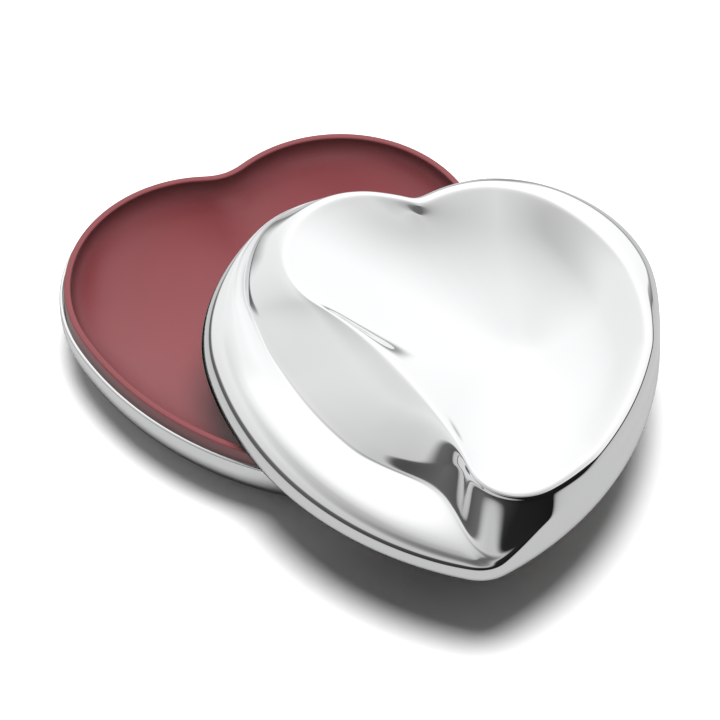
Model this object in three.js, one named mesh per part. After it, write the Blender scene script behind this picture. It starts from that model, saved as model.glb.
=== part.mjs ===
// Heart-shaped trinket box: a polished steel bowl with a moulded red tray inside, and a loose
// sculpted steel lid, turned aside and laid across the tray's locating lip.
// Millimetres, +Z up. The origin is on the table, under the middle of the base. The heart's notch
// points to +Y and its tip to -Y.
import * as THREE from 'three';

// ---------- driving dimensions ----------
const heartWidth = 110;        // across the tray's locating lip
const heartLength = 111;       // lobe tops to tip, on the same lip
const lobeSpacing = 36.8;      // between the two lobe centres
const sideRadius = 86;         // long arcs from lobe to tip
const notchRadius = 12.7;
const tipRadius = 8.6;

const fit = 0.3;               // gap between pieces that touch or are bonded
const shellWall = 1.0;         // steel of the base
const edgeHeight = 19;         // table to the steel edge of the base
const straightWall = 2.6;      // upright part of the base wall under that edge
const standShare = 0.7;        // flat underside as a share of the heart
const footPad = 0.8;           // thickness of the non-slip pad

const lipRise = 3.6;           // locating lip above the steel edge
const lipWidth = 1.7;          // flat top of the lip
const lipRound = 0.4;
const trayWall = 1.6;
const bondThickness = 0.8;     // adhesive foam under the tray

const lidRimWall = 1.0;        // steel at the lid's rim
const lidBulge = 1.3;          // how far the lid swells beyond its rim
const lidBulgeHeight = 4.1;    // height of the widest line above the rim
const crestHeight = 18.5;      // top of the crest above the rim
const dishDepth = 7;           // crest down to the bottom of the dish
const lidWall = 1.8;           // steel above the lid's hollow
const lidPanel = 1.6;          // moulded panel that closes the lid
const lidBondRadius = 14;
const crestBand = 2.4;         // rounded top of the crest

const lidShift = [20.5, -40.9];  // where the lid lies, from its closed place
const lidTurn = -13.8;         // degrees about Z
const around = 64;             // points round each outline of the base
const aroundLid = 88;          // and round each outline of the lid

// ---------- worked out ----------
const lipTop = edgeHeight + lipRise;
const seamOffset = fit + 0.1 + shellWall;          // steel edge outside the lip
const lidOutline = seamOffset + lidBulge;
const recess = lipRise + fit;                      // room over the lip inside the lid
const overPanel = recess + lidPanel + 2 * fit;     // the hollow starts here
const lobeX = lobeSpacing / 2;
const lobeRadius = heartWidth / 2 - lobeX;
const lobeY = heartLength / 2 - lobeRadius;

const degrees = (a) => (a * Math.PI) / 180;
const mix = (a, b, t) => a + (b - a) * t;
const smooth = (t) => { const s = Math.min(Math.max(t, 0), 1); return s * s * (3 - 2 * s); };
const range = (n) => Array.from({ length: n }, (_, i) => i);

// ---------- outlines made of tangent arcs ----------

/** A point where two circles meet; side is +1 or -1 from the line between their centres. */
function meet(a, ra, b, rb, side) {
  const line = b.clone().sub(a);
  const length = line.length();
  const along = (ra * ra - rb * rb + length * length) / (2 * length);
  const off = Math.sqrt(Math.max(ra * ra - along * along, 0));
  line.divideScalar(length);
  const across = new THREE.Vector2(-line.y, line.x);
  return a.clone().addScaledVector(line, along).addScaledVector(across, side * off);
}

/** Heart of six tangent arcs, clockwise from the left lobe. A negative left side radius is hollow. */
function heartPath(shape) {
  const { right, rightRadius, left, leftRadius, tip, tipR, notchR, rightSide, leftSide } = shape;
  const notch = meet(left, leftRadius + notchR, right, rightRadius + notchR, 1);
  const sideR = meet(right, rightSide - rightRadius, tip, rightSide - tipR, -1);
  const hollow = leftSide < 0;
  const sideL = hollow
    ? meet(tip, tipR - leftSide, left, leftRadius - leftSide, 1)
    : meet(tip, leftSide - tipR, left, leftSide - leftRadius, -1);
  const from = (a, b) => Math.atan2(b.y - a.y, b.x - a.x);
  const path = new THREE.Path();
  const arc = (c, r, a0, a1, clockwise) => path.absarc(c.x, c.y, r, a0, a1, clockwise);
  const leaveTip = hollow ? from(tip, sideL) : from(sideL, tip);
  const reachLobe = hollow ? from(left, sideL) : from(sideL, left);
  arc(notch, notchR, from(notch, left), from(notch, right), false);
  arc(right, rightRadius, from(right, notch), from(sideR, right), true);
  arc(sideR, rightSide, from(sideR, right), from(sideR, tip), true);
  arc(tip, tipR, from(sideR, tip), leaveTip, true);
  arc(sideL, Math.abs(leftSide), from(sideL, tip), from(sideL, left), !hollow);
  arc(left, leftRadius, reachLobe, from(left, notch), true);
  return path;
}

/** The tray lip's heart, grown by offset (negative shrinks it). */
function heart(offset) {
  const right = new THREE.Vector2(lobeX, lobeY);
  const left = new THREE.Vector2(-lobeX, lobeY);
  const tip = new THREE.Vector2(0, tipRadius - heartLength / 2);
  return heartPath({
    right, left, tip,
    rightRadius: lobeRadius + offset, leftRadius: lobeRadius + offset, tipR: tipRadius + offset,
    notchR: notchRadius - offset, rightSide: sideRadius + offset, leftSide: sideRadius + offset,
  });
}

// ---------- skins built from rings ----------

const middle = new THREE.Vector2(0, 0);             // rings of the base shrink towards this
const dishMiddle = new THREE.Vector2(10, 4);        // rings of the lid shrink towards this
const dishShift = new THREE.Vector2(10, -3);        // from there to the lowest point of the dish

/** Distance from a centre to a closed path, as a function of the direction. */
function reach(path, centre) {
  const samples = path.getSpacedPoints(1440).slice(0, -1).map((p) => {
    const d = p.clone().sub(centre);
    return { angle: Math.atan2(d.y, d.x), distance: d.length() };
  }).sort((a, b) => a.angle - b.angle);
  const turn = 2 * Math.PI;
  const ends = [
    { ...samples.at(-1), angle: samples.at(-1).angle - turn }, ...samples,
    { ...samples[0], angle: samples[0].angle + turn },
  ];
  return (angle) => {
    const a = Math.atan2(Math.sin(angle), Math.cos(angle));
    let low = 0;
    let high = ends.length - 1;
    while (high - low > 1) {
      const mid = (low + high) >> 1;
      if (ends[mid].angle <= a) low = mid; else high = mid;
    }
    const t = (a - ends[low].angle) / (ends[high].angle - ends[low].angle);
    return mix(ends[low].distance, ends[high].distance, t);
  };
}

/** Directions that space the points of a path evenly, seen from a centre, anticlockwise. */
function directions(path, centre) {
  const points = path.getSpacedPoints(around).slice(0, -1);
  return points.map((p) => Math.atan2(p.y - centre.y, p.x - centre.x)).reverse();
}

/** Directions from a centre that share the points out fairly over several paths, anticlockwise. */
function spread(paths, centre, count) {
  const turns = range(1441).map((i) => degrees(i / 4));
  const way = turns.map((a) => a / (2 * Math.PI));
  for (const path of paths) {
    const distance = reach(path, centre);
    const points = turns.map((a) => new THREE.Vector2(Math.cos(a), Math.sin(a)).multiplyScalar(distance(a)));
    const lengths = points.map((p, i) => (i ? p.distanceTo(points[i - 1]) : 0));
    const total = lengths.reduce((a, b) => a + b);
    let sum = 0;
    for (const i of range(way.length)) {
      sum += lengths[i] / total;
      way[i] += sum;
    }
  }
  return range(count).map((i) => {
    const aim = (i / count) * way.at(-1);
    const next = way.findIndex((w) => w > aim);
    return mix(turns[next - 1], turns[next], (aim - way[next - 1]) / (way[next] - way[next - 1]));
  });
}

/** Closed mesh over rings of points, from one end cap to the other. */
function skin(rings) {
  const count = rings[0].length;
  const vertices = rings.flat().flatMap((p) => [p.x, p.y, p.z]);
  const faces = [];
  for (const r of range(rings.length - 1)) {
    for (const i of range(count)) {
      const a = r * count + i;
      const b = r * count + ((i + 1) % count);
      faces.push(a, b, b + count, a, b + count, a + count);
    }
  }
  const cap = (ring, first, flip) => {
    const hub = ring.reduce((sum, p) => sum.add(p), new THREE.Vector3()).divideScalar(count);
    const at = vertices.push(hub.x, hub.y, hub.z) / 3 - 1;
    for (const i of range(count)) {
      const a = first + i;
      const b = first + ((i + 1) % count);
      faces.push(...(flip ? [at, b, a] : [at, a, b]));
    }
  };
  cap(rings[0], 0, true);
  cap(rings.at(-1), (rings.length - 1) * count, false);
  const geometry = new THREE.BufferGeometry();
  geometry.setAttribute('position', new THREE.Float32BufferAttribute(vertices, 3));
  geometry.setIndex(faces);
  geometry.computeVertexNormals();
  return geometry;
}

const ringAt = (centre, angles, radius, height) => angles.map((a, i) => {
  const r = radius(a, i);
  return new THREE.Vector3(centre.x + r * Math.cos(a), centre.y + r * Math.sin(a), height(a, i));
});

const steel = () => new THREE.MeshStandardMaterial({ color: 0xd9dadb, roughness: 0.06, metalness: 1 });
const moulded = () => new THREE.MeshStandardMaterial({ color: 0x7a2b31, roughness: 0.45, metalness: 0 });
const foam = () => new THREE.MeshStandardMaterial({ color: 0xe6e2d8, roughness: 0.9, metalness: 0 });
const rubber = () => new THREE.MeshStandardMaterial({ color: 0x2a2626, roughness: 0.8, metalness: 0 });

function piece(name, geometry, material) {
  const mesh = new THREE.Mesh(geometry, material);
  mesh.name = name;
  return mesh;
}

// ---------- base ----------

const baseAngles = directions(heart(0), middle);

const edges = new Map();

/** Ring of the base: the heart grown by offset, then shrunk to a share of itself. */
function baseRing(offset, share, height) {
  if (!edges.has(offset)) edges.set(offset, reach(heart(offset), middle));
  const edge = edges.get(offset);
  return ringAt(middle, baseAngles, (a) => edge(a) * share, () => height);
}

/** Quarter-oval wall from a flat floor, share of the heart and height at step t of 0 to 1. */
function ovalWall(floorShare, floorHeight, topHeight, t) {
  const a = (t * Math.PI) / 2;
  return [mix(floorShare, 1, Math.sin(a)), mix(floorHeight, topHeight, 1 - Math.cos(a))];
}

const shellBottom = footPad + fit;
const wallStart = edgeHeight - straightWall;
const wallSteps = range(7).map((i) => i / 6);

function baseShell() {
  const outer = wallSteps.map((t) => {
    const [share, z] = ovalWall(standShare, shellBottom, wallStart, t);
    return baseRing(seamOffset, share, z);
  });
  const inner = wallSteps.toReversed().map((t) => {
    const [share, z] = ovalWall(standShare, shellBottom + shellWall, wallStart, t);
    return baseRing(seamOffset - shellWall, share, z);
  });
  const soft = shellWall * 0.3;
  const edge = [
    baseRing(seamOffset, 1, edgeHeight - soft),
    baseRing(seamOffset - soft, 1, edgeHeight),
    baseRing(seamOffset - shellWall + soft, 1, edgeHeight),
    baseRing(seamOffset - shellWall, 1, edgeHeight - soft),
  ];
  return piece('base_shell', skin([...outer, ...edge, ...inner]), steel());
}

const bondBottom = shellBottom + shellWall + fit;
const trayBottom = bondBottom + bondThickness + fit;
const trayFloor = trayBottom + trayWall;
const bowlShare = 0.3;                               // middle of the tray floor that is nearly flat

function baseLiner() {
  const outer = wallSteps.map((t) => {
    const [share, z] = ovalWall(standShare, trayBottom, wallStart, t);
    return baseRing(0, share, z);
  });
  const lip = [
    baseRing(0, 1, lipTop - lipRound),
    baseRing(-lipRound * 0.3, 1, lipTop - lipRound * 0.3),
    baseRing(-lipRound, 1, lipTop),
    baseRing(lipRound * 0.6 - lipWidth, 1, lipTop),
    baseRing(-lipWidth, 1, lipTop - lipRound),
  ];
  const bowl = range(9).map((i) => 1 - i / 8).map((t) => {
    const [share, z] = ovalWall(bowlShare, trayFloor, lipTop - lipRound * 2, t);
    return baseRing(-lipWidth, share, z);
  });
  return piece('base_liner', skin([...outer, ...lip, ...bowl]), moulded());
}

function flatPad(name, share, bottom, top, material) {
  return piece(name, skin([baseRing(0, share, bottom), baseRing(0, share, top)]), material);
}

// ---------- lid ----------

const lidWide = heartWidth / 2 + lidOutline;
const lidLong = heartLength / 2 + lidOutline;

/** The dish's crest, placed by shares of the lid's half width and half length. */
function crestPath() {
  const at = (x, y) => new THREE.Vector2(x * lidWide, y * lidLong);
  return heartPath({
    right: at(0.267, 0.4), rightRadius: 0.537 * lidWide,
    left: at(-0.208, 0.607), leftRadius: 0.369 * lidWide,
    tip: at(0.218, -0.577), tipR: 0.232 * lidWide,
    notchR: 0.09 * lidWide, rightSide: 0.97 * lidWide, leftSide: -1.8 * lidWide,
  });
}

const outlineReach = reach(heart(lidOutline), dishMiddle);
const rimReach = reach(heart(seamOffset), dishMiddle);
const rimInnerReach = reach(heart(seamOffset - lidRimWall), dishMiddle);
const crestReach = reach(crestPath(), dishMiddle);
const lidAngles = spread([heart(lidOutline), crestPath(), crestPath()], dishMiddle, aroundLid);

// Sections round the lid, by direction from the dish's middle in degrees. The shoulder is the roll
// just inside the outline: how far in and how high its top is. A groove lifts the roll's edge above
// the crease. The crease and the foot above it are placed by their share of the way from the
// outline to the crest, and by their height. All three heights are shares of the way from the
// panel inside up to the crest. Soft says how far apart a corner's two rings are, and the ridge is
// how far the crest's outer side stands beyond the crest's line.
const sectionKeys = [
  'shoulderIn', 'shoulder', 'groove', 'crease', 'creaseHeight', 'foot', 'footHeight', 'soft', 'ridge',
];
const sections = [
  [20, 0.3, 0.52, 0, 0.15, 0.73, 0.4, 0.9, 0.3, 0],
  [80, 0.3, 0.52, 0, 0.15, 0.73, 0.4, 0.9, 0.3, 0],
  [99, 0.3, 0.48, 0, 0.3, 0.64, 0.6, 0.84, 0.3, -0.8],
  [110, 0.3, 0.48, 0, 0.3, 0.64, 0.6, 0.84, 0.3, -0.6],
  [117, 0.5, 0.77, 0.2, 0.3, 0.87, 0.45, 0.92, 0.2, 0.4],
  [132, 0.7, 0.75, 0.4, 0.17, 0.75, 0.24, 0.8, 0.05, 1.6],
  [144, 2.4, 0.64, 0.9, 0.34, 0.54, 0.4, 0.63, 0.05, 2.2],
  [156, 4, 0.52, 1.1, 0.4, 0.4, 0.46, 0.51, 0.05, 2.2],
  [170, 5, 0.43, 1, 0.42, 0.28, 0.48, 0.39, 0.05, 2.2],
  [178, 5.5, 0.4, 0.2, 0.44, 0.25, 0.51, 0.38, 0.15, 2.2],
  [214, 6, 0.28, 0, 0.48, 0.17, 0.55, 0.33, 0.1, 2.2],
  [226, 6, 0.25, 0, 0.54, 0.15, 0.6, 0.36, 0.06, 2.2],
  [235, 6, 0.23, 0, 0.59, 0.15, 0.66, 0.41, 0.05, 2.2],
  [243, 6, 0.2, 0, 0.62, 0.19, 0.73, 0.54, 0.05, 2],
  [249, 6, 0.19, 0, 0.6, 0.22, 0.83, 0.7, 0.06, 1.6],
  [252, 5.5, 0.17, 0, 0.55, 0.23, 0.89, 0.81, 0.08, 1.3],
  [255, 4.5, 0.15, 0, 0.46, 0.22, 0.93, 0.89, 0.1, 1.2],
  [257, 3, 0.13, 0, 0.37, 0.19, 0.93, 0.9, 0.12, 1.1],
  [259, 1.5, 0.09, 0, 0.25, 0.14, 0.92, 0.9, 0.14, 1],
  [262, 0.6, 0.01, 0, 0.12, 0.09, 0.9, 0.9, 0.16, 0.8],
  [265, 0.3, 0.06, 0, 0.15, 0.18, 0.9, 0.9, 0.16, 0.6],
  [270, 0.2, 0.25, 0, 0.2, 0.38, 0.88, 0.89, 0.18, 0.2],
  [275, 0.2, 0.35, 0, 0.2, 0.52, 0.85, 0.89, 0.2, -0.1],
  [280, 0.2, 0.35, 0, 0.2, 0.56, 0.8, 0.88, 0.24, -0.4],
  [290, 0.3, 0.31, 0, 0.3, 0.56, 0.7, 0.83, 0.3, -1],
  [345, 0.3, 0.27, 0, 0.3, 0.52, 0.6, 0.8, 0.3, -1],
  [380, 0.3, 0.52, 0, 0.15, 0.73, 0.4, 0.9, 0.3, 0],
];
const blendAngle = 2.5;        // sections blend over this many degrees each way

/** Averages a function of the direction over a bell of this width in degrees. */
function blurred(valueAt, angle, width) {
  const steps = range(9).map((i) => (i - 4) / 4);
  const weights = steps.map((s) => Math.exp(-2 * s * s));
  const total = weights.reduce((a, b) => a + b);
  return steps.reduce((a, s, i) => a + weights[i] * valueAt(angle + degrees(s * 2 * width)), 0) / total;
}

/** Section values in a direction, blended smoothly from the listed sections. */
function sectionAt(angle) {
  const between = (column) => (a) => {
    const at = (((((a * 180) / Math.PI - 20) % 360) + 360) % 360) + 20;
    const next = sections.findIndex(([from]) => from > at);
    const [from, to] = [sections[next - 1], sections[next]];
    return mix(from[column], to[column], (at - from[0]) / (to[0] - from[0]));
  };
  const found = sectionKeys.map((key, i) => [key, blurred(between(i + 1), angle, blendAngle)]);
  const s = Object.fromEntries(found);
  for (const key of ['shoulder', 'creaseHeight', 'footHeight']) s[key] = mix(overPanel, crestHeight, s[key]);
  return s;
}

/** The crest's shape near the crest, ever softer further in, and round in the middle. */
function dishRadius(angle, share) {
  const blur = Math.min(100 * (1 - share), 8 + 26 * (1 - share));
  return share * mix(0.52 * lidWide, blurred(crestReach, angle, blur), smooth(1.6 * share));
}

const dishHeight = (share) => crestHeight - dishDepth * (1 - share ** 1.7);

/** Two cage points that stand for one corner, each a little way from it along the section. */
function corner(before, at, after, soft) {
  return [before, after].map((side) => at.map((value, axis) => mix(value, side[axis], soft)));
}

/** Lines of the lid in one direction, as distances from the dish's middle. */
function linesAt(angle) {
  const s = sectionAt(angle);
  const edge = outlineReach(angle);
  const crest = Math.min(crestReach(angle), edge - 0.8);
  const outer = Math.min(crest + s.ridge, edge - 0.8);
  return { s, edge, crest, outer, crease: mix(edge, crest, s.crease), foot: mix(edge, crest, s.foot) };
}

// Cage points are a radius, a height and a pull: how much of the dish's shift they take.

/** From the rim up over the shoulder, crease and crest to the dish's middle. */
function lidCage(angle) {
  const { s, edge, outer, crease, foot } = linesAt(angle);
  const rim = rimReach(angle);
  const rimInner = rimInnerReach(angle);
  const roll = edge - s.shoulderIn;
  const sideTop = lidBulgeHeight + 1.5;
  const grooveLine = Math.max(mix(roll, crease, 0.7), crease + Math.min(1.5, (roll - crease) / 2));
  const aboveGroove = [grooveLine, mix(s.shoulder, s.creaseHeight, 0.7) + s.groove, 0];
  const flank = (t, rise) => [mix(foot, outer, t), mix(s.footHeight, crestHeight, rise), 0];
  const [low, at, above] = [flank(0.35, 0.43), [crease, s.creaseHeight, 0], [foot, s.footHeight, 0]];
  const inward = crestReach(angle) - (outer - crestBand);
  const dish = (share) => {
    const held = smooth((share - 0.6) / 0.4);
    return [dishRadius(angle, share) - inward * held, dishHeight(share), 1 - share];
  };
  return [
    [rimInner, 0, 0], [rimInner + 0.15, 0, 0], [rim - 0.15, 0, 0], [rim, 0.15, 0],
    [edge, 1.6, 0], [edge + 0.1, lidBulgeHeight, 0], [edge, sideTop, 0],
    [mix(edge, roll, 0.25), mix(sideTop, s.shoulder, 0.6), 0], [roll, s.shoulder, 0], aboveGroove,
    ...corner(aboveGroove, at, above, s.soft), ...corner(at, above, low, s.soft),
    low, flank(0.75, 0.86), [outer, crestHeight, 0], [outer - 0.6 * crestBand, crestHeight + 0.2, 0],
    ...[0.99, 0.92, 0.82, 0.68, 0.5, 0.3, 0.12].map(dish),
  ];
}

/** From the dish's middle out to the rim, underneath. */
function hollowCage(angle) {
  const { s, edge, crest, crease, foot } = linesAt(angle);
  const wall = rimInnerReach(angle);
  const inside = (r, gap) => Math.min(r, edge - gap);
  const dish = (share) => [dishRadius(angle, share), dishHeight(share) - lidWall, 1 - share];
  return [
    ...[0.12, 0.3, 0.5, 0.68].map(dish),
    [inside(crest * 0.86, 8), dishHeight(0.86) - lidWall - 0.4, 0],
    [inside(mix(crest, foot, 0.45), 6.6), mix(s.footHeight, crestHeight, 0.6) - lidWall - 0.6, 0],
    [inside(crease - 1, 5.6), Math.max(s.creaseHeight - lidWall, overPanel + 0.3), 0],
    [wall - 1.6, Math.max(s.shoulder - lidWall - 3.4, overPanel + 0.3), 0],
    [wall - 0.2, overPanel, 0], [wall, recess + 0.8, 0], [wall, recess, 0], [wall, 1, 0],
  ];
}

/** Points of a cubic B-spline over a cage, ends included. */
function spline(cage, steps) {
  const points = [cage[0], cage[0], ...cage, cage.at(-1), cage.at(-1)];
  const spans = points.length - 3;
  return range(steps + 1).map((i) => {
    const u = (i / steps) * spans;
    const span = Math.min(Math.floor(u), spans - 1);
    const t = u - span;
    const weights = [(1 - t) ** 3, 3 * t ** 3 - 6 * t * t + 4, -3 * t ** 3 + 3 * t * t + 3 * t + 1, t ** 3];
    return [0, 1, 2].map((axis) => weights.reduce((sum, w, k) => sum + (w * points[span + k][axis]) / 6, 0));
  });
}

/** Rings of the lid from one spline per direction. */
function lidRings(cageAt, steps) {
  const splines = lidAngles.map((a) => spline(cageAt(a), steps));
  const ring = (row) => lidAngles.map((a, i) => {
    const [radius, height, pull] = splines[i][row];
    const x = dishMiddle.x + radius * Math.cos(a) + pull * dishShift.x;
    return new THREE.Vector3(x, dishMiddle.y + radius * Math.sin(a) + pull * dishShift.y, height);
  });
  return range(steps + 1).map(ring);
}

function lidShell() {
  const hollow = lidRings(hollowCage, 13);
  const outer = lidRings(lidCage, 41);
  return piece('lid_shell', skin([...hollow, ...outer]), steel());
}

function lidLiner() {
  const edge = reach(heart(seamOffset - lidRimWall - fit), dishMiddle);
  const ring = (grow, z) => ringAt(dishMiddle, lidAngles, (a) => edge(a) + grow, () => z);
  const rings = [
    ring(-0.5, recess), ring(0, recess + 0.3), ring(-0.4, recess + 0.9), ring(-3, recess + lidPanel),
  ];
  return piece('lid_liner', skin(rings), moulded());
}

function lidBond() {
  const bottom = recess + lidPanel + fit;
  const top = crestHeight - dishDepth - lidWall - fit;
  const lowest = dishMiddle.clone().add(dishShift);
  const disc = new THREE.CylinderGeometry(lidBondRadius, lidBondRadius, top - bottom, 32);
  disc.rotateX(Math.PI / 2).translate(lowest.x, lowest.y, (top + bottom) / 2);
  return piece('lid_bond', disc, foam());
}

// ---------- assembly ----------

const box = new THREE.Group();
box.add(
  flatPad('foot_pad', standShare - 0.04, 0, footPad, rubber()),
  baseShell(),
  flatPad('tray_bond', standShare - 0.1, bondBottom, bondBottom + bondThickness, foam()),
  baseLiner(),
);

const lid = new THREE.Group();
lid.add(lidShell(), lidLiner(), lidBond());
lid.rotation.z = degrees(lidTurn);
lid.position.set(lidShift[0], lidShift[1], lipTop + fit);
box.add(lid);

export default box;
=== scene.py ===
# %% [markdown]
# A heart-shaped trinket box. A polished steel bowl holds a moulded burgundy tray, and its sculpted
# steel lid lies turned aside across the tray. The sizes, places and motion are fixed by the packed
# model. This lesson gives that model its fine surfaces, its finishes, a pale floor and soft light.
# The first cell loads the model.

# %% Load the fixed frame
import math

import bmesh
import bpy
import numpy as np
from mathutils import Matrix, Vector


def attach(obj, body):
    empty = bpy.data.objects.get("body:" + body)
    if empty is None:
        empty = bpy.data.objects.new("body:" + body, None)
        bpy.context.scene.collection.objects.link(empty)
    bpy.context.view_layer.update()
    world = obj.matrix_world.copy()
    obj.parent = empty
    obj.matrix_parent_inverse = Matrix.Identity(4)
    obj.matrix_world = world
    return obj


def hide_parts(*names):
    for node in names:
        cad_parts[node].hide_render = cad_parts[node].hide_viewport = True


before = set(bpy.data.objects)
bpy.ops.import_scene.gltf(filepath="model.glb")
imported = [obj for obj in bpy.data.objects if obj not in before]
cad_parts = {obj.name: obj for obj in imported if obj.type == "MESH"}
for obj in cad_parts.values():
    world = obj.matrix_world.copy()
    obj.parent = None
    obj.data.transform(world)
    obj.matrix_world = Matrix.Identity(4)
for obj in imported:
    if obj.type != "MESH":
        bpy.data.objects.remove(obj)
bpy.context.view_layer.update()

MM = 0.001
scene = bpy.context.scene

# %% [markdown]
# The camera comes first, so that every later step can be looked at. The box is seen from its left
# front, half way between level and straight down, with a long lens: a long lens from far away keeps
# small objects free of the stretched look that a short lens gives.

# %% Camera
looked_at = Vector((6.8, -20.0, 22.6)) * MM
view_turn = math.radians(23.8)
view_height = math.radians(50.5)
view_distance = 1200 * MM

towards = Vector((
    -math.sin(view_turn) * math.cos(view_height),
    -math.cos(view_turn) * math.cos(view_height),
    math.sin(view_height),
))
camera = bpy.data.objects.new("camera", bpy.data.cameras.new("camera"))
camera.data.sensor_width = 36
camera.data.lens = 239
camera.data.clip_start = 0.05
camera.data.clip_end = 20
camera.location = looked_at + towards * view_distance
camera.rotation_euler = (-towards).to_track_quat("-Z", "Y").to_euler()
scene.collection.objects.link(camera)
scene.camera = camera
print("camera at", [round(x, 3) for x in camera.location])

# %% [markdown]
# Materials are graphs of nodes. Written one node at a time they are long and hard to read, so this
# small class wraps a socket: an ordinary sum on it adds the Math node that works the sum out. One
# more method, `node`, adds a node of any other kind.

# %% A socket that does sums


class Wire:
    """One output socket. Sums on it add Math nodes, and node() adds any other node."""

    def __init__(self, tree, socket=None):
        self.tree = tree
        self.socket = socket

    def node(self, kind, settings=None, inputs=None, output=0):
        """Adds a node, sets it up, fills or links its sockets, and gives one output."""
        made = self.tree.nodes.new(kind)
        for name, value in (settings or {}).items():
            if name == "stops":
                for n, (place, colour) in enumerate(value):
                    stop = made.color_ramp.elements[n] if n < 2 else made.color_ramp.elements.new(place)
                    stop.position = place
                    stop.color = colour
            else:
                setattr(made, name, value)
        for name, value in (inputs or {}).items():
            if isinstance(value, Wire):
                self.tree.links.new(value.socket, made.inputs[name])
            else:
                made.inputs[name].default_value = value
        return Wire(self.tree, made.outputs[output] if made.outputs else None)

    def sum(self, operation, first, second):
        return self.node("ShaderNodeMath", {"operation": operation}, {0: first, 1: second})

    def __add__(self, other):
        return self.sum("ADD", self, other)

    def __radd__(self, other):
        return self.sum("ADD", other, self)

    def __sub__(self, other):
        return self.sum("SUBTRACT", self, other)

    def __rsub__(self, other):
        return self.sum("SUBTRACT", other, self)

    def __mul__(self, other):
        return self.sum("MULTIPLY", self, other)

    def __rmul__(self, other):
        return self.sum("MULTIPLY", other, self)

    def __pow__(self, other):
        return self.sum("POWER", self, other)


def grey(level):
    return (level, level, level, 1)


def new_finish(name):
    """An empty material, and its Principled shader."""
    material = bpy.data.materials.new(name)
    material.use_nodes = True
    tree = material.node_tree
    shader = tree.nodes["Principled BSDF"]
    return material, Wire(tree), shader


def into_shader(shader, **maps):
    """Links maps to the shader. A socket's name is written with _ for its spaces."""
    for name, wire in maps.items():
        wire.tree.links.new(wire.socket, shader.inputs[name.replace("_", " ")])


# %% [markdown]
# Every piece of this box follows one heart. A heart is drawn with six arcs that run smoothly into
# each other: a lobe, a long side and the tip on each side, and a small hollow arc in the notch. Each
# neighbouring pair of arcs is tangent, so their centres are the sum or the difference of their radii
# apart, which fixes the centre of each joining arc.

# %% The heart outline
heart_width = 110.0
heart_length = 111.0
lobe_spacing = 36.8
side_radius = 86.0
notch_radius = 12.7
tip_radius = 8.6

lobe_x = lobe_spacing / 2
lobe_radius = heart_width / 2 - lobe_x
lobe_y = heart_length / 2 - lobe_radius


def meet(a, ra, b, rb, side):
    """A point where two circles meet, on one side of the line between their centres."""
    line = b - a
    along = (ra * ra - rb * rb + line @ line) / (2 * math.sqrt(line @ line))
    off = math.sqrt(max(ra * ra - along * along, 0))
    line = line / math.sqrt(line @ line)
    return a + along * line + side * off * np.array([-line[1], line[0]])


def heart_outline(right, right_r, left, left_r, tip, tip_r, notch_r, right_side, left_side):
    """Points along six tangent arcs. A negative left side is a hollow one."""
    right, left, tip = np.array(right), np.array(left), np.array(tip)
    notch = meet(left, left_r + notch_r, right, right_r + notch_r, 1)
    side_r = meet(right, right_side - right_r, tip, right_side - tip_r, -1)
    hollow = left_side < 0
    if hollow:
        side_l = meet(tip, tip_r - left_side, left, left_r - left_side, 1)
    else:
        side_l = meet(tip, left_side - tip_r, left, left_side - left_r, -1)

    def heading(a, b):
        return math.atan2(b[1] - a[1], b[0] - a[0])

    def arc(centre, radius, start, end, clockwise):
        turn = (start - end if clockwise else end - start) % (2 * math.pi)
        a = start + np.linspace(0, -turn if clockwise else turn, 241)[:-1]
        return centre + radius * np.stack([np.cos(a), np.sin(a)], 1)

    leave_tip = heading(tip, side_l) if hollow else heading(side_l, tip)
    reach_lobe = heading(left, side_l) if hollow else heading(side_l, left)
    return np.concatenate([
        arc(notch, notch_r, heading(notch, left), heading(notch, right), False),
        arc(right, right_r, heading(right, notch), heading(side_r, right), True),
        arc(side_r, right_side, heading(side_r, right), heading(side_r, tip), True),
        arc(tip, tip_r, heading(side_r, tip), leave_tip, True),
        arc(side_l, abs(left_side), heading(side_l, tip), heading(side_l, left), not hollow),
        arc(left, left_r, reach_lobe, heading(left, notch), True),
    ])


def heart(offset):
    """The tray lip's heart, grown by an offset."""
    return heart_outline(
        (lobe_x, lobe_y), lobe_radius + offset, (-lobe_x, lobe_y), lobe_radius + offset,
        (0, tip_radius - heart_length / 2), tip_radius + offset,
        notch_radius - offset, side_radius + offset, side_radius + offset,
    )


def reach(outline, centre):
    """How far the outline is from a centre, as a function of the direction."""
    away = outline - np.array(centre)
    direction = np.arctan2(away[:, 1], away[:, 0])
    distance = np.hypot(away[:, 0], away[:, 1])
    return lambda angle: np.interp(angle, direction, distance, period=2 * math.pi)


outline = heart(0)
print("heart", np.ptp(outline, axis=0).round(2), "mm")

# %% [markdown]
# A bowl or a lid is a stack of rings. The first ring is a circle of vertices, moved onto the heart;
# each further ring is an extrusion of the last one, moved to its own size and height. The two ends
# are closed with a fan of faces round one middle vertex. All the way round, ring after ring stays in
# step, so the faces are clean four-sided ones that smooth well.

# %% Rings pulled up into a skin


def place_ring(ring, centre, directions, radius, height, shift=(0, 0)):
    x, y = centre[0] + shift[0], centre[1] + shift[1]
    for vertex, angle, r, z in zip(ring, directions, radius, height):
        vertex.co = Vector((x + r * math.cos(angle), y + r * math.sin(angle), z)) * MM


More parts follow.
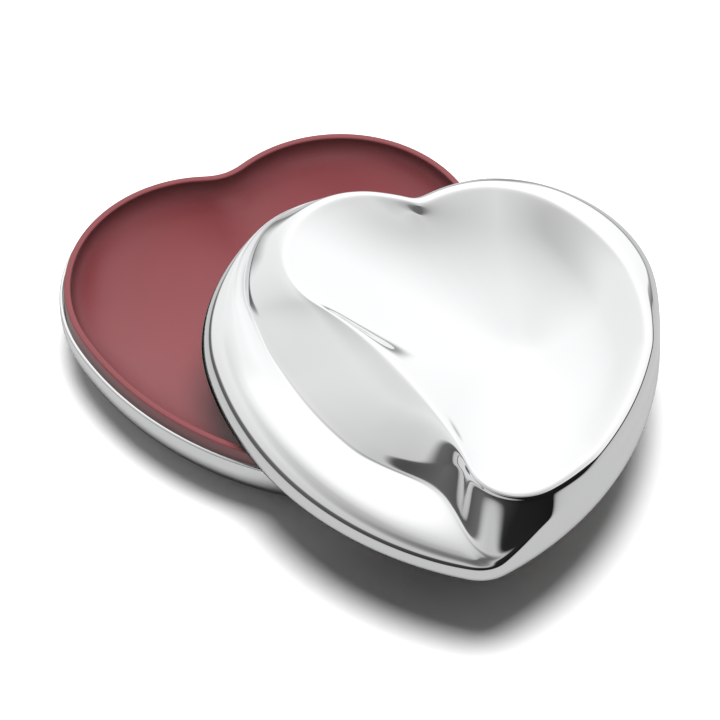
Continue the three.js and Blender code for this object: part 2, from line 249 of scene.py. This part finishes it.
def ring_skin(name, centre, directions, rings):
    """A closed skin over rings of (radius, height) arrays, from one end to the other."""
    bm = bmesh.new()
    ring = bmesh.ops.create_circle(bm, segments=len(directions), radius=1)["verts"]
    ring.sort(key=lambda v: math.atan2(v.co.y, v.co.x) % (2 * math.pi))
    first = ring
    place_ring(ring, centre, directions, *rings[0])
    edges = list(bm.edges)
    for ring_values in rings[1:]:
        made = bmesh.ops.extrude_edge_only(bm, edges=edges)["geom"]
        edges = [g for g in made if isinstance(g, bmesh.types.BMEdge)]
        fresh = {g for g in made if isinstance(g, bmesh.types.BMVert)}
        bm.verts.index_update()
        ring = [next(e.other_vert(v) for e in v.link_edges if e.other_vert(v) in fresh) for v in ring]
        edges = [e for e in edges if e.verts[0] in fresh and e.verts[1] in fresh]
        place_ring(ring, centre, directions, *ring_values)
    for end in (first, ring):
        middle = sum((v.co for v in end), Vector()) / len(end)
        hub = bm.verts.new(middle)
        for a, b in zip(end, end[1:] + end[:1]):
            bm.faces.new((hub, a, b))
    bmesh.ops.recalc_face_normals(bm, faces=bm.faces)
    mesh = bpy.data.meshes.new(name)
    bm.to_mesh(mesh)
    bm.free()
    mesh.shade_smooth()
    made = bpy.data.objects.new(name, mesh)
    scene.collection.objects.link(made)
    return made


def smoothed(piece, levels):
    """Rounds a cage of faces with a Subdivision Surface."""
    rounding = piece.modifiers.new("smooth", "SUBSURF")
    rounding.levels = levels
    rounding.render_levels = levels
    return piece


around = 160
directions = np.arange(around) / around * 2 * math.pi
print("rings of", around, "points")

# %% [markdown]
# The base is a steel bowl, spun and pressed from sheet, with a flat underside to stand on. Its wall
# is a quarter of an oval, then a short upright part that ends in a thin rolled edge. The heart only
# shrinks towards the middle, so one list of (offset, share, height) says the whole bowl.

# %% Base bowl
fit = 0.3
shell_wall = 1.0
edge_height = 19.0
straight_wall = 2.6
stand_share = 0.7
foot_pad_height = 0.8
lip_rise = 3.6
lip_width = 1.7
lip_round = 0.4
tray_wall = 1.6
bond_thickness = 0.8

lip_top = edge_height + lip_rise
seam_offset = fit + 0.1 + shell_wall
shell_bottom = foot_pad_height + fit
wall_start = edge_height - straight_wall
tray_bottom = shell_bottom + shell_wall + fit + bond_thickness + fit
tray_floor = tray_bottom + tray_wall
bowl_share = 0.3


def oval_wall(floor_share, floor, top, steps):
    """Share and height up a quarter-oval wall, from its flat floor to its top."""
    for t in np.linspace(0, math.pi / 2, steps):
        share = floor_share + (1 - floor_share) * math.sin(t)
        yield share, floor + (top - floor) * (1 - math.cos(t))


def base_skin(name, profile):
    reaches = {offset: reach(heart(offset), (0, 0))(directions) for offset, _, _ in profile}
    rings = [(reaches[offset] * share, np.full(around, z)) for offset, share, z in profile]
    return ring_skin(name, (0, 0), directions, rings)


def rolled(outer, inner, low, top, steps=7):
    """A round edge from the outer offset over to the inner one."""
    for a in np.linspace(0, math.pi, steps):
        offset = (outer + inner) / 2 + (outer - inner) / 2 * math.cos(a)
        yield round(offset, 4), 1, low + (top - low) * math.sin(a)


inside = seam_offset - shell_wall
bowl_profile = [
    *((seam_offset, 0.02 + 0.32 * i, shell_bottom) for i in range(3)),
    *((seam_offset, s, z) for s, z in oval_wall(stand_share, shell_bottom, wall_start, 16)),
    (seam_offset, 1, (wall_start + edge_height) / 2),
    *rolled(seam_offset, inside, edge_height - 0.5, edge_height, 9),
    (inside, 1, (wall_start + edge_height) / 2),
    *((inside, s, z) for s, z in [*oval_wall(stand_share, shell_bottom + shell_wall, wall_start, 12)][::-1]),
    *((inside, 0.66 - 0.32 * i, shell_bottom + shell_wall) for i in range(3)),
]
base_bowl = smoothed(base_skin("base_bowl", bowl_profile), 1)
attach(base_bowl, "base")
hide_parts("base_shell")
print(base_bowl.name, len(base_bowl.data.vertices), "vertices")

# %% [markdown]
# The tray is moulded in one piece, burgundy all through. Its wall rises above the steel as a lip that
# keeps the lid in place. The lip has a flat top with small round corners, and inside it the tray is
# one smooth hollow without a corner, so that small things are easy to pick up. In a mirror this near,
# the bright red would fill half of the lid's wall, so neither half of the base shows in mirrors.

# %% Tray


def lip_corner(outer, inner, top, radius, steps=5):
    """The lip: up the outside, round, across the flat top, round, and down the inside."""
    for a in np.linspace(0, math.pi / 2, steps):
        yield round(outer - radius * (1 - math.cos(a)), 4), 1, top - radius * (1 - math.sin(a))
    for a in np.linspace(math.pi / 2, 0, steps):
        yield round(inner + radius * (1 - math.cos(a)), 4), 1, top - radius * (1 - math.sin(a))


tray_profile = [
    *((0, 0.02 + 0.32 * i, tray_bottom) for i in range(3)),
    *((0, s, z) for s, z in oval_wall(stand_share, tray_bottom, wall_start, 12)),
    (0, 1, edge_height),
    *lip_corner(0, -lip_width, lip_top, lip_round),
    *((-lip_width, s, z) for s, z in [*oval_wall(bowl_share, tray_floor, lip_top - lip_round * 2, 28)][::-1]),
    *((-lip_width, bowl_share * s, tray_floor) for s in (0.75, 0.5, 0.25, 0.08)),
]
tray = smoothed(base_skin("tray", tray_profile), 1)
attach(tray, "base")
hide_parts("base_liner")
for piece in (tray, base_bowl):
    piece.visible_glossy = False
tray.visible_diffuse = False
print(tray.name, len(tray.data.vertices), "vertices")

# %% [markdown]
# The lid is the sculpture of this box. A dish sinks into its top, and the dish's rim, the crest, is a
# second, twisted heart: close to the edge on the right, and an S-shaped ridge across the left. Left
# of the ridge a flank falls to a crease, and beyond the crease a soft roll runs down to the rim.

# %% Lid sizes
lid_rim_wall = 1.0
lid_bulge = 1.3
lid_bulge_height = 4.1
crest_height = 18.5
dish_depth = 7.0
lid_wall = 1.8
lid_panel = 1.6
lid_shift = (20.5, -40.9)
lid_turn = -13.8

lid_outline = seam_offset + lid_bulge
recess = lip_rise + fit
lid_wide = heart_width / 2 + lid_outline
lid_long = heart_length / 2 + lid_outline
dish_middle = (10.0, 4.0)

crest_outline = heart_outline(
    (0.267 * lid_wide, 0.4 * lid_long), 0.537 * lid_wide,
    (-0.208 * lid_wide, 0.607 * lid_long), 0.369 * lid_wide,
    (0.218 * lid_wide, -0.577 * lid_long), 0.232 * lid_wide,
    0.09 * lid_wide, 0.97 * lid_wide, -1.8 * lid_wide,
)


def spread(outlines, centre, count):
    """Directions from a centre that share out the points fairly over several outlines."""
    turn = np.linspace(0, 2 * math.pi, 2881)
    way = turn / (2 * math.pi)
    for outline in outlines:
        r = reach(outline, centre)(turn)
        steps = np.hypot(np.diff(r * np.cos(turn)), np.diff(r * np.sin(turn)))
        way = way + np.concatenate([[0], np.cumsum(steps)]) / steps.sum()
    return np.interp(np.arange(count) / count * way[-1], way, turn)


lid_directions = spread([heart(lid_outline), crest_outline, crest_outline], dish_middle, around)
edge_reach = reach(heart(lid_outline), dish_middle)(lid_directions)
rim_reach = reach(heart(seam_offset), dish_middle)(lid_directions)
rim_inner = reach(heart(seam_offset - lid_rim_wall), dish_middle)(lid_directions)
crest_reach = reach(crest_outline, dish_middle)(lid_directions)
print("crest from", crest_reach.min().round(1), "to", crest_reach.max().round(1), "mm")

# %% [markdown]
# Between the edge and the crest the lid's section changes all the way round. A few sections are
# listed at their directions, in degrees, and everything between is blended. The shoulder is the roll
# inside the edge: how far in, and how high. The crease and the foot of the flank are given by their
# share of the way from edge to crest, and by their heights.

# %% Lid sections round the dish
section_keys = (
    "shoulder_in", "shoulder", "groove", "crease", "crease_height", "foot", "foot_height", "soft", "ridge",
)
plain_side = (0.3, 12.5, 0, 0.15, 15.2, 0.40, 17.3, 0.3, 0)
sections = {
    20: plain_side,
    80: plain_side,
    99: (0.3, 12, 0, 0.3, 14, 0.6, 16.5, 0.3, -0.8),
    110: (0.3, 12, 0, 0.3, 14, 0.6, 16.5, 0.3, -0.6),
    117: (0.5, 15.6, 0.2, 0.30, 16.9, 0.45, 17.5, 0.20, 0.4),
    132: (0.7, 15.4, 0.4, 0.17, 15.4, 0.24, 16.0, 0.05, 1.6),
    144: (2.4, 14.0, 0.9, 0.34, 12.8, 0.40, 13.9, 0.05, 2.2),
    156: (4.0, 12.6, 1.1, 0.40, 11.0, 0.46, 12.4, 0.05, 2.2),
    170: (5.0, 11.4, 1.0, 0.42, 9.6, 0.48, 10.9, 0.05, 2.2),
    178: (5.5, 11.0, 0.2, 0.44, 9.2, 0.51, 10.8, 0.15, 2.2),
    214: (6.0, 9.6, 0, 0.48, 8.2, 0.55, 10.2, 0.10, 2.2),
    226: (6.0, 9.2, 0, 0.54, 7.9, 0.60, 10.6, 0.06, 2.2),
    235: (6.0, 8.9, 0, 0.59, 7.9, 0.66, 11.2, 0.05, 2.2),
    243: (6.0, 8.6, 0, 0.62, 8.4, 0.73, 12.8, 0.05, 2.0),
    249: (6.0, 8.4, 0, 0.60, 8.8, 0.83, 14.8, 0.06, 1.6),
    252: (5.5, 8.2, 0, 0.55, 8.9, 0.89, 16.2, 0.08, 1.3),
    255: (4.5, 8.0, 0, 0.46, 8.8, 0.93, 17.1, 0.10, 1.2),
    257: (3.0, 7.7, 0, 0.37, 8.4, 0.93, 17.3, 0.12, 1.1),
    259: (1.5, 7.2, 0, 0.25, 7.8, 0.92, 17.3, 0.14, 1.0),
    262: (0.6, 6.2, 0, 0.12, 7.2, 0.90, 17.2, 0.16, 0.8),
    265: (0.3, 6.8, 0, 0.15, 8.3, 0.90, 17.2, 0.16, 0.6),
    270: (0.2, 9.2, 0, 0.20, 10.8, 0.88, 17.1, 0.18, 0.2),
    275: (0.2, 10.5, 0, 0.20, 12.5, 0.85, 17.1, 0.20, -0.1),
    280: (0.2, 10.5, 0, 0.20, 13.0, 0.80, 17.0, 0.24, -0.4),
    290: (0.3, 10, 0, 0.3, 13, 0.7, 16.4, 0.3, -1.0),
    345: (0.3, 9.5, 0, 0.3, 12.5, 0.6, 16.0, 0.3, -1.0),
    380: plain_side,
}
blend_angle = 2.5


def blurred(values_at, width):
    """Averages a function of the direction over a bell of this width in degrees."""
    steps = np.arange(-4, 5) / 4
    weights = np.exp(-2 * steps**2)
    weights /= weights.sum()
    at = np.degrees(lid_directions)
    return sum(w * values_at(at + s * 2 * width) for s, w in zip(steps, weights))


def section_values():
    """Each section value in every direction, blended smoothly from the listed ones."""
    found = {}
    for column, key in enumerate(section_keys):
        listed = [values[column] for values in sections.values()]
        found[key] = blurred(lambda at: np.interp((at - 20) % 360 + 20, list(sections), listed), blend_angle)
    return found


section = section_values()
print("sections", len(sections))

# %% [markdown]
# The lid's cage has one ring per step from the rim up over the shoulder, the crease and the crest to
# the middle of the dish, and a second set for the hollow underneath. A Subdivision Surface turns the
# cage into a surface as smooth as a polished one: a mirror shows every corner that a cage has.
# A corner in the section is two rings, one each side of it: the nearer they are, the crisper it is.

# %% Lid cage
crest_band = 2.4
crest_margin = 0.8
side_top = lid_bulge_height + 1.5
over_panel = recess + lid_panel + 2 * fit
round_share = 0.52
dish_blur = 26.0
dish_shift = np.array([10.0, -3.0])
dish_shares = (0.99, 0.92, 0.82, 0.68, 0.5, 0.3, 0.12)


def mix(a, b, t):
    return a + (b - a) * t


def soft_step_of(t):
    return t * t * (3 - 2 * t)


def dish_radius(share):
    """The crest's shape near the crest, ever softer further in, and round in the middle."""
    blur = min(100 * (1 - share), 8 + dish_blur * (1 - share))
    soft_crest = blurred(lambda at: reach(crest_outline, dish_middle)(np.radians(at)), blur)
    return share * mix(round_share * lid_wide, soft_crest, soft_step_of(min(1, 1.6 * share)))


def dish_height(share):
    return crest_height - dish_depth * (1 - share**1.7)


def corner(before, at, after, soft):
    """Two rings that stand for one corner, each a little way from it along the section."""
    return [tuple(mix(a, b, soft) for a, b in zip(at, side)) for side in (before, after)]


def lid_lines():
    """How far out the crest, the crease and the foot of the flank are in every direction."""
    crest = np.minimum(crest_reach, edge_reach - crest_margin)
    return crest, mix(edge_reach, crest, section["crease"]), mix(edge_reach, crest, section["foot"])


def full_rings(rings):
    """Gives every ring one height per direction."""
    return [(radius, height + np.zeros(around), *shift) for radius, height, *shift in rings]


def lid_cage():
    s = section
    edge = edge_reach
    crest, crease_line, foot_line = lid_lines()
    outer = np.minimum(crest + s["ridge"], edge - crest_margin)
    inward = crest_reach - (outer - crest_band)

    roll = edge - s["shoulder_in"]
    to_crease = roll - crease_line
    groove_line = np.maximum(mix(roll, crease_line, 0.7), crease_line + np.minimum(1.5, to_crease / 2))
    above_groove = (groove_line, mix(s["shoulder"], s["crease_height"], 0.7) + s["groove"])
    crease = (crease_line, s["crease_height"])
    foot = (foot_line, s["foot_height"])

    def flank(t, rise):
        return mix(foot_line, outer, t), mix(s["foot_height"], crest_height, rise)

    def dish(share):
        held = soft_step_of(max(0, (share - 0.6) / 0.4))
        return dish_radius(share) - inward * held, dish_height(share), dish_shift * (1 - share)

    low_flank = flank(0.35, 0.43)
    return full_rings([
        (rim_inner, 0.15), (rim_inner + 0.15, 0), (rim_reach - 0.15, 0), (rim_reach, 0.15),
        (edge, 1.6), (edge + 0.1, lid_bulge_height), (edge, side_top),
        (mix(edge, roll, 0.25), mix(side_top, s["shoulder"], 0.6)), (roll, s["shoulder"]), above_groove,
        *corner(above_groove, crease, foot, s["soft"]), *corner(crease, foot, low_flank, s["soft"]),
        low_flank, flank(0.75, 0.86), (outer, crest_height), (outer - 0.6 * crest_band, crest_height + 0.2),
        *(dish(share) for share in dish_shares),
    ])


def hollow_cage():
    s = section
    crest, crease, foot = lid_lines()

    def inside(radius, gap):
        return np.minimum(radius, edge_reach - gap)

    def dish(share):
        return dish_radius(share), dish_height(share) - lid_wall, dish_shift * (1 - share)

    return full_rings([
        *(dish(share) for share in dish_shares[:2:-1]),
        (inside(crest * 0.86, 8), dish_height(0.86) - lid_wall - 0.4),
        (inside(mix(crest, foot, 0.45), 6.6), mix(s["foot_height"], crest_height, 0.6) - lid_wall - 0.6),
        (inside(crease - 1, 5.6), np.maximum(s["crease_height"] - lid_wall, over_panel + 0.3)),
        (rim_inner - 1.6, np.maximum(s["shoulder"] - lid_wall - 3.4, over_panel + 0.3)),
        (rim_inner - 0.2, over_panel), (rim_inner, recess + 0.8), (rim_inner, recess), (rim_inner, 1),
    ])


lid_place = Matrix.Translation(Vector((*lid_shift, lip_top + fit)) * MM)
lid_place @= Matrix.Rotation(math.radians(lid_turn), 4, "Z")


def on_box(piece):
    """Lays a lid piece where the lid rests."""
    piece.data.transform(lid_place)
    return piece


lid_cap = ring_skin("lid_cap", dish_middle, lid_directions, hollow_cage() + lid_cage())
smoothed(on_box(lid_cap), 2)
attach(lid_cap, "lid")
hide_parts("lid_shell")
print(lid_cap.name, len(lid_cap.data.vertices), "vertices")

# %% [markdown]
# Polished steel is a mirror with a little life in it. Its colour is constant; what varies is how
# sharply it reflects: faint wipe marks left by a cloth, and hairlines drawn out along one direction by
# stretching a noise. A very slight waviness is what the polishing wheel leaves behind.

# %% Polished steel


def polished_steel():
    material, w, shader = new_finish("polished_steel")
    place = w.node("ShaderNodeTexCoord", output="Object")
    drawn_out = w.node(
        "ShaderNodeMapping", None,
        {"Vector": place, "Rotation": (0, 0, 0.6), "Scale": (90, 2600, 2600)}, "Vector",
    )
    wipe = w.node("ShaderNodeTexNoise", None, {"Vector": place, "Scale": 38.0, "Detail": 5.0}, "Fac")
    hairline = w.node("ShaderNodeTexNoise", None, {"Vector": drawn_out, "Scale": 1.0, "Detail": 2.0}, "Fac")
    wave = w.node("ShaderNodeTexNoise", None, {"Vector": place, "Scale": 90.0, "Detail": 1.0}, "Fac")
    shader.inputs["Base Color"].default_value = (0.86, 0.865, 0.87, 1)
    shader.inputs["Metallic"].default_value = 1
    rough = 0.02 + 0.03 * wipe + 0.04 * hairline * wipe
    bump = w.node("ShaderNodeBump", None, {"Height": wave, "Strength": 0.02, "Distance": 0.0005}, "Normal")
    into_shader(shader, Roughness=rough, Normal=bump)
    return material


steel = polished_steel()
print("finish", steel.name)

# %% [markdown]
# The tray is moulded plastic with a satin skin: a deep red, a fine spark-eroded grain in the bump, and
# clouds in the colour and the sheen, slow enough to look like the flow of the plastic in its mould.

# %% Moulded red


def moulded_red():
    material, w, shader = new_finish("moulded_red")
    place = w.node("ShaderNodeTexCoord", output="Object")
    grain = w.node("ShaderNodeTexNoise", None, {"Vector": place, "Scale": 3200.0, "Detail": 2.0}, "Fac")
    cloud = w.node("ShaderNodeTexNoise", None, {"Vector": place, "Scale": 30.0, "Detail": 3.0}, "Fac")
    colour = w.node(
        "ShaderNodeValToRGB",
        {"stops": [(0.3, (0.140, 0.024, 0.029, 1)), (0.7, (0.160, 0.029, 0.034, 1))]},
        {"Fac": cloud},
    )
    bump = w.node("ShaderNodeBump", None, {"Height": grain, "Strength": 0.12, "Distance": 0.0001}, "Normal")
    shader.inputs["Specular IOR Level"].default_value = 0.9
    into_shader(shader, Base_Color=colour, Roughness=0.34 + 0.06 * grain + 0.05 * cloud, Normal=bump)
    return material


red = moulded_red()
print("finish", red.name)

# %% [markdown]
# Foam and rubber are dull, so their detail is in the bump. Foam is a mass of small open cells, which a
# Voronoi texture makes: its distance is 0 in the middle of each cell and grows towards the walls.
# The rubber pad has a fine pebbled skin, and lint dulls it in patches.

# %% Foam and rubber


def adhesive_foam():
    material, w, shader = new_finish("adhesive_foam")
    place = w.node("ShaderNodeTexCoord", output="Object")
    cell = w.node("ShaderNodeTexVoronoi", None, {"Vector": place, "Scale": 1800.0}, "Distance")
    colour = w.node(
        "ShaderNodeValToRGB",
        {"stops": [(0.1, (0.42, 0.38, 0.30, 1)), (0.7, (0.78, 0.75, 0.66, 1))]},
        {"Fac": cell},
    )
    bump = w.node("ShaderNodeBump", None, {"Height": cell, "Strength": 0.6, "Distance": 0.0002}, "Normal")
    into_shader(shader, Base_Color=colour, Roughness=0.85 + 0.12 * cell, Normal=bump)
    return material


def non_slip_rubber():
    material, w, shader = new_finish("non_slip_rubber")
    place = w.node("ShaderNodeTexCoord", output="Object")
    pebble = w.node("ShaderNodeTexVoronoi", None, {"Vector": place, "Scale": 1100.0}, "Distance")
    lint = w.node("ShaderNodeTexNoise", None, {"Vector": place, "Scale": 120.0, "Detail": 6.0}, "Fac")
    colour = w.node(
        "ShaderNodeValToRGB",
        {"stops": [(0.35, (0.022, 0.020, 0.020, 1)), (0.75, (0.060, 0.056, 0.054, 1))]},
        {"Fac": lint},
    )
    bump = w.node("ShaderNodeBump", None, {"Height": pebble, "Strength": 0.5, "Distance": 0.0002}, "Normal")
    into_shader(shader, Base_Color=colour, Roughness=0.6 + 0.3 * lint, Normal=bump)
    return material


foam = adhesive_foam()
rubber = non_slip_rubber()
print("finishes", foam.name, rubber.name)

# %% [markdown]
# New pieces have no material yet, so the finish is appended. Nodes that are kept from the frame have
# the frame's plain material in their slots: there the finish takes its place, and the mesh stays.
# The red panel in the lid is kept out of diffuse bounces, or it would tint the shadow on the floor.

# %% Finishes on the pieces
for piece, finish in ((base_bowl, steel), (lid_cap, steel), (tray, red)):
    piece.data.materials.append(finish)
for node, finish in (("lid_liner", red), ("lid_bond", foam), ("tray_bond", foam), ("foot_pad", rubber)):
    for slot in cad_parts[node].material_slots:
        slot.material = finish
    print(node, "has", finish.name)
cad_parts["lid_liner"].visible_diffuse = False

# %% [markdown]
# The box stands on a plain pale floor. Polished steel would show that floor as bright as the sky, and
# lose its edges, so the floor is a darker grey to mirror rays than it is to the camera. A colour ramp
# driven by the Light Path node chooses between the two greys.

# %% Floor


def floor():
    bm = bmesh.new()
    bmesh.ops.create_grid(bm, x_segments=1, y_segments=1, size=4)
    mesh = bpy.data.meshes.new("floor")
    bm.to_mesh(mesh)
    bm.free()
    made = bpy.data.objects.new("floor", mesh)
    scene.collection.objects.link(made)
    material, w, shader = new_finish("pale_floor")
    seen = w.node("ShaderNodeLightPath", output="Is Glossy Ray")
    tone = w.node("ShaderNodeValToRGB", {"stops": [(0, grey(0.93)), (1, grey(0.34))]}, {"Fac": seen})
    into_shader(shader, Base_Color=tone)
    shader.inputs["Roughness"].default_value = 0.9
    shader.inputs["Specular IOR Level"].default_value = 0.0
    made.data.materials.append(material)
    return made


floor()

# %% [markdown]
# Polished steel shows the room, so the room is part of the look. This one is a white tent, brightest
# behind the box and greyer overhead. It hangs over a low zone all round, which is black from the
# camera to its right, and grey elsewhere. Three ramps round the room say how dark that zone is, how
# bright the tent above it is, and how high the line between them runs. Matt surfaces get less of the
# room than mirrors do, which leaves the soft light overhead in charge of the shadow.

# %% The white tent


def soft_step(value, low, high):
    """0 below low, 1 above high, and smooth between."""
    return value.node(
        "ShaderNodeMapRange", {"interpolation_type": "SMOOTHSTEP"},
        {"Value": value, "From Min": low, "From Max": high}, "Result",
    )


def round_the_room(w, azimuth, stops):
    """A number that changes with the azimuth: 0 faces the camera, 90 is at the camera's right."""
    ramp = [((a + 180) / 360, grey(level)) for a, level in stops]
    return w.node("ShaderNodeValToRGB", {"stops": ramp}, {"Fac": azimuth})


world = bpy.data.worlds.new("studio")
scene.world = world
world.use_nodes = True
w = Wire(world.node_tree)
heading = w.node("ShaderNodeTexCoord", output="Generated")
turned = w.node(
    "ShaderNodeVectorRotate", {"rotation_type": "Z_AXIS"}, {"Vector": heading, "Angle": view_turn}, "Vector"
)
split = w.node("ShaderNodeSeparateXYZ", None, {"Vector": turned}, "X")
to_right, from_camera, height = (Wire(w.tree, o) for o in split.socket.node.outputs)
azimuth = w.sum("ARCTAN2", to_right, -1 * from_camera) * (0.5 / math.pi) + 0.5

low_level = round_the_room(w, azimuth, [
    (-180, 0.5), (-145, 0.4), (-132, 0.18), (-108, 0.15), (-76, 0.14), (-45, 0.07), (-20, 0.03), (5, 0.012),
    (130, 0.015), (138, 0.5), (180, 0.5),
])
high_level = round_the_room(w, azimuth, [
    (-180, 1.22), (-160, 1.1), (-145, 0.98), (-127, 0.95), (-100, 0.85), (-80, 0.72), (-45, 0.6), (0, 0.6),
    (90, 0.95), (150, 1.1), (180, 1.22),
])
limit = round_the_room(w, azimuth, [
    (-180, 0.10), (-145, 0.10), (-132, 0.18), (-108, 0.26), (-76, 0.36), (-45, 0.48), (-20, 0.62), (0, 0.74),
    (20, 0.80), (50, 0.70), (80, 0.46), (135, 0.42), (142, 0.12), (180, 0.10),
])
overhead = soft_step(height, 0.78, 0.99)
sky = soft_step(height - limit, -0.07, 0.10)
tent = low_level * (0.7 + 1.2 * height) * (1 - sky) + (high_level - 0.45 * overhead) * sky
from_surface = w.node("ShaderNodeLightPath", output="Is Diffuse Ray")
tent = tent * (1 - 0.6 * from_surface)
backdrop = world.node_tree.nodes["Background"]
world.node_tree.links.new(tent.socket, backdrop.inputs["Color"])
backdrop.inputs["Strength"].default_value = 1.0


def softbox(name, azimuth, elevation, distance, size, power, mirrored):
    """A round soft light that looks at the box from one side."""
    data = bpy.data.lights.new(name, "AREA")
    data.shape = "DISK"
    data.size = size
    data.energy = power
    made = bpy.data.objects.new(name, data)
    a = math.radians(azimuth) - view_turn
    e = math.radians(elevation)
    away = Vector((math.sin(a) * math.cos(e), -math.cos(a) * math.cos(e), math.sin(e)))
    made.location = looked_at + away * distance
    made.rotation_euler = (-away).to_track_quat("-Z", "Y").to_euler()
    made.visible_glossy = mirrored
    scene.collection.objects.link(made)
    return made


softbox("top_light", 180, 84, 1.4, 0.9, 36, False)
scene.view_settings.view_transform = "Standard"
print("studio ready")
